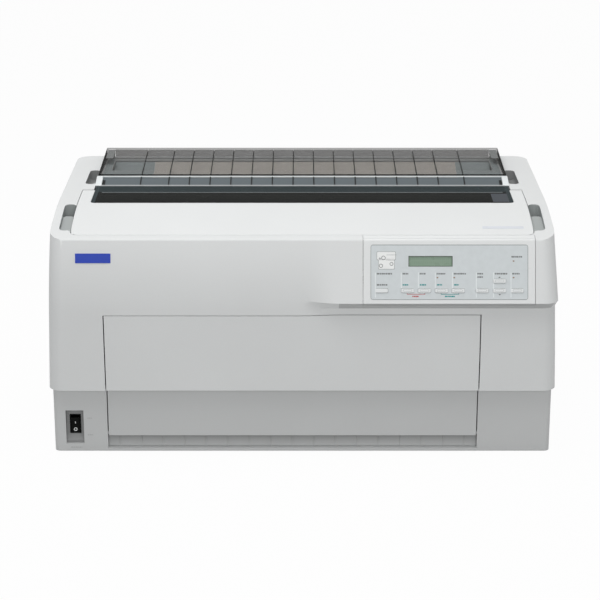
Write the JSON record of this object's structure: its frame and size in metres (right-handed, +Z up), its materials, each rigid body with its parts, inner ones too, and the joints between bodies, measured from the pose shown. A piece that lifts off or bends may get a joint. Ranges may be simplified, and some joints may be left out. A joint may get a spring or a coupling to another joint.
{
  "type": "dot matrix printer",
  "caption": "Wide-carriage dot matrix printer: two-part case, hinged covers, platen, moving print head and tractors.",
  "frame": {"origin": "on the floor, under the middle of the printer's bounding box", "axes": "+X to the right seen from the front, along the carriage; +Y to the back; +Z up"},
  "size_m": [0.706, 0.392, 0.3556],
  "materials": {
    "base_grey": "fine-textured moulded plastic",
    "shell_grey": "fine-textured moulded plastic",
    "cover_white": "fine-textured moulded plastic",
    "zinc_steel": "zinc-plated sheet steel",
    "rubber_black": "moulded rubber",
    "overlay_film": "printed polyester film",
    "lcd_green": "display window",
    "board_green": "circuit board",
    "lamp_lens": "clear brown lens",
    "badge_blue": "painted plate",
    "black_plastic": "black moulded plastic",
    "natural_plastic": "acetal",
    "ground_steel": "ground steel",
    "motor_black": "black painted die casting",
    "belt_rubber": "toothed belt",
    "guide_grey": "blue-grey moulded plastic",
    "bar_white": "white moulded plastic",
    "smoke_clear": "smoked clear plastic",
    "button_grey": "moulded keys",
    "ribbon_ink": "inked nylon",
    "knob_blue": "moulded knob"
  },
  "bodies": {
    "printer": {"base_shell": "base_grey", "upper_shell": "shell_grey", "chassis": "zinc_steel", "rubber_feet": "rubber_black", "panel_housing": "shell_grey", "panel_overlay": "overlay_film", "lcd_window": "lcd_green", "panel_board": "board_green", "indicator_leds": "lamp_lens", "badge_plate": "badge_blue", "switch_housing": "black_plastic", "ac_inlet": "black_plastic", "power_supply": "board_green", "main_board": "board_green", "fan_frame": "black_plastic", "platen_bearings": "natural_plastic", "guide_shafts": "ground_steel", "carriage_motor": "motor_black", "feed_motor": "motor_black", "drive_belt": "belt_rubber", "feed_belt": "belt_rubber", "paper_guide": "guide_grey", "exit_guide": "guide_grey", "exit_bars": "bar_white", "entry_guide": "guide_grey", "fasteners": "ground_steel"},
    "printer_cover": {"printer_cover": "cover_white", "cover_window": "smoke_clear"},
    "paper_lid": {"paper_lid": "smoke_clear"},
    "front_cover": {"front_cover": "base_grey"},
    "rear_cover": {"rear_cover": "base_grey"},
    "power_rocker": {"power_rocker": "black_plastic"},
    "button_1": {"button_1": "button_grey"},
    "button_2": {"button_2": "button_grey"},
    "button_3": {"button_3": "button_grey"},
    "button_4": {"button_4": "button_grey"},
    "button_5": {"button_5": "button_grey"},
    "button_6": {"button_6": "button_grey"},
    "button_7": {"button_7": "button_grey"},
    "button_8": {"button_8": "button_grey"},
    "button_9": {"button_9": "button_grey"},
    "platen": {"platen_roller": "rubber_black", "platen_gear": "natural_plastic"},
    "feed_pinion": {"feed_pinion": "natural_plastic"},
    "carriage": {"print_carriage": "motor_black", "print_head": "motor_black"},
    "ribbon_cartridge": {"ribbon_cartridge": "black_plastic", "ribbon": "ribbon_ink"},
    "ribbon_knob": {"ribbon_knob": "knob_blue"},
    "drive_pulley": {"drive_pulley": "natural_plastic"},
    "idler_pulley": {"idler_pulley": "natural_plastic"},
    "tractor_shaft": {"tractor_shaft": "ground_steel"},
    "left_tractor": {"left_tractor": "motor_black"},
    "right_tractor": {"right_tractor": "motor_black"},
    "left_sprocket": {"left_sprocket": "natural_plastic"},
    "right_sprocket": {"right_sprocket": "natural_plastic"},
    "left_tractor_cover": {"left_tractor_cover": "guide_grey"},
    "right_tractor_cover": {"right_tractor_cover": "guide_grey"},
    "fan_rotor": {"fan_rotor": "black_plastic"},
    "paper_bail": {"paper_bail": "ground_steel"}
  },
  "joints": [
    {"name": "printer_cover_hinge", "type": "hinge", "parent": "printer", "child": "printer_cover", "pos_m": [0, 0, 0.331], "axis": [-1, 0, 0], "range_deg": [0, 75]},
    {"name": "paper_lid_hinge", "type": "hinge", "parent": "printer", "child": "paper_lid", "pos_m": [0, 0.186, 0.34695], "axis": [-1, 0, 0], "range_deg": [0, 75]},
    {"name": "front_cover_hinge", "type": "hinge", "parent": "printer", "child": "front_cover", "pos_m": [0, -0.163, 0.028], "axis": [1, 0, 0], "range_deg": [0, 80]},
    {"name": "rear_cover_hinge", "type": "hinge", "parent": "printer", "child": "rear_cover", "pos_m": [0, 0.19, 0.115], "axis": [-1, 0, 0], "range_deg": [0, 75]},
    {"name": "power_rocker_tip", "type": "hinge", "parent": "printer", "child": "power_rocker", "pos_m": [-0.3192, -0.156, 0.04], "axis": [1, 0, 0], "range_deg": [-16, 0]},
    {"name": "button_1_press", "type": "slide", "parent": "printer", "child": "button_1", "axis": [0, 0.9511, -0.309], "range_m": [0, 0.0008], "stiffness_N_per_m": 400},
    {"name": "button_2_press", "type": "slide", "parent": "printer", "child": "button_2", "axis": [0, 0.9511, -0.309], "range_m": [0, 0.0008], "stiffness_N_per_m": 400},
    {"name": "button_3_press", "type": "slide", "parent": "printer", "child": "button_3", "axis": [0, 0.9511, -0.309], "range_m": [0, 0.0008], "stiffness_N_per_m": 400},
    {"name": "button_4_press", "type": "slide", "parent": "printer", "child": "button_4", "axis": [0, 0.9511, -0.309], "range_m": [0, 0.0008], "stiffness_N_per_m": 400},
    {"name": "button_5_press", "type": "slide", "parent": "printer", "child": "button_5", "axis": [0, 0.9511, -0.309], "range_m": [0, 0.0008], "stiffness_N_per_m": 400},
    {"name": "button_6_press", "type": "slide", "parent": "printer", "child": "button_6", "axis": [0, 0.9511, -0.309], "range_m": [0, 0.0008], "stiffness_N_per_m": 400},
    {"name": "button_7_press", "type": "slide", "parent": "printer", "child": "button_7", "axis": [0, 0.9511, -0.309], "range_m": [0, 0.0008], "stiffness_N_per_m": 400},
    {"name": "button_8_press", "type": "slide", "parent": "printer", "child": "button_8", "axis": [0, 0.9511, -0.309], "range_m": [0, 0.0008], "stiffness_N_per_m": 400},
    {"name": "button_9_press", "type": "slide", "parent": "printer", "child": "button_9", "axis": [0, 0.9511, -0.309], "range_m": [0, 0.0008], "stiffness_N_per_m": 400},
    {"name": "platen_turn", "type": "hinge", "parent": "printer", "child": "platen", "pos_m": [0, 0, 0.262], "axis": [1, 0, 0], "continuous": true},
    {"name": "feed_pinion_turn", "type": "hinge", "parent": "printer", "child": "feed_pinion", "pos_m": [0, 0.03897, 0.2395], "axis": [1, 0, 0], "continuous": true},
    {"name": "tractor_shaft_turn", "type": "hinge", "parent": "printer", "child": "tractor_shaft", "pos_m": [0, -0.105, 0.13], "axis": [1, 0, 0], "continuous": true},
    {"name": "carriage_slide", "type": "slide", "parent": "printer", "child": "carriage", "axis": [1, 0, 0], "range_m": [0, 0.41]},
    {"name": "drive_pulley_turn", "type": "hinge", "parent": "printer", "child": "drive_pulley", "pos_m": [0.282, -0.112, 0.235], "axis": [0, 0, 1], "continuous": true},
    {"name": "idler_pulley_turn", "type": "hinge", "parent": "printer", "child": "idler_pulley", "pos_m": [-0.282, -0.112, 0.235], "axis": [0, 0, 1], "continuous": true},
    {"name": "cartridge_lift", "type": "slide", "parent": "printer", "child": "ribbon_cartridge", "axis": [0, 0, 1], "range_m": [0, 0.022]},
    {"name": "ribbon_knob_turn", "type": "hinge", "parent": "ribbon_cartridge", "child": "ribbon_knob", "pos_m": [-0.25, -0.12, 0.285], "axis": [0, 0, 1], "continuous": true},
    {"name": "left_tractor_slide", "type": "slide", "parent": "printer", "child": "left_tractor", "axis": [1, 0, 0], "range_m": [-0.01, 0.06]},
    {"name": "right_tractor_slide", "type": "slide", "parent": "printer", "child": "right_tractor", "axis": [1, 0, 0], "range_m": [-0.3, 0.02]},
    {"name": "left_sprocket_turn", "type": "hinge", "parent": "left_tractor", "child": "left_sprocket", "pos_m": [-0.225, -0.105, 0.13], "axis": [1, 0, 0], "continuous": true},
    {"name": "right_sprocket_turn", "type": "hinge", "parent": "right_tractor", "child": "right_sprocket", "pos_m": [0.175, -0.105, 0.13], "axis": [1, 0, 0], "continuous": true},
    {"name": "left_tractor_cover_hinge", "type": "hinge", "parent": "left_tractor", "child": "left_tractor_cover", "pos_m": [-0.242, -0.11, 0.142], "axis": [0, -1, 0], "range_deg": [0, 100]},
    {"name": "right_tractor_cover_hinge", "type": "hinge", "parent": "right_tractor", "child": "right_tractor_cover", "pos_m": [0.192, -0.11, 0.142], "axis": [0, 1, 0], "range_deg": [0, 100]},
    {"name": "fan_turn", "type": "hinge", "parent": "printer", "child": "fan_rotor", "pos_m": [0.31, 0.09, 0.16], "axis": [1, 0, 0], "continuous": true},
    {"name": "paper_bail_lift", "type": "hinge", "parent": "printer", "child": "paper_bail", "pos_m": [0, 0.04, 0.28], "axis": [-1, 0, 0], "range_deg": [0, 18]}
  ],
  "couplings": [
    {"joint": "feed_pinion_turn", "follows": "platen_turn", "ratio": -2},
    {"joint": "tractor_shaft_turn", "follows": "platen_turn", "ratio": -2},
    {"joint": "left_sprocket_turn", "follows": "platen_turn", "ratio": -2},
    {"joint": "right_sprocket_turn", "follows": "platen_turn", "ratio": -2},
    {"joint": "drive_pulley_turn", "follows": "carriage_slide", "rad_per_m": 81.301},
    {"joint": "idler_pulley_turn", "follows": "carriage_slide", "rad_per_m": 81.301}
  ]
}
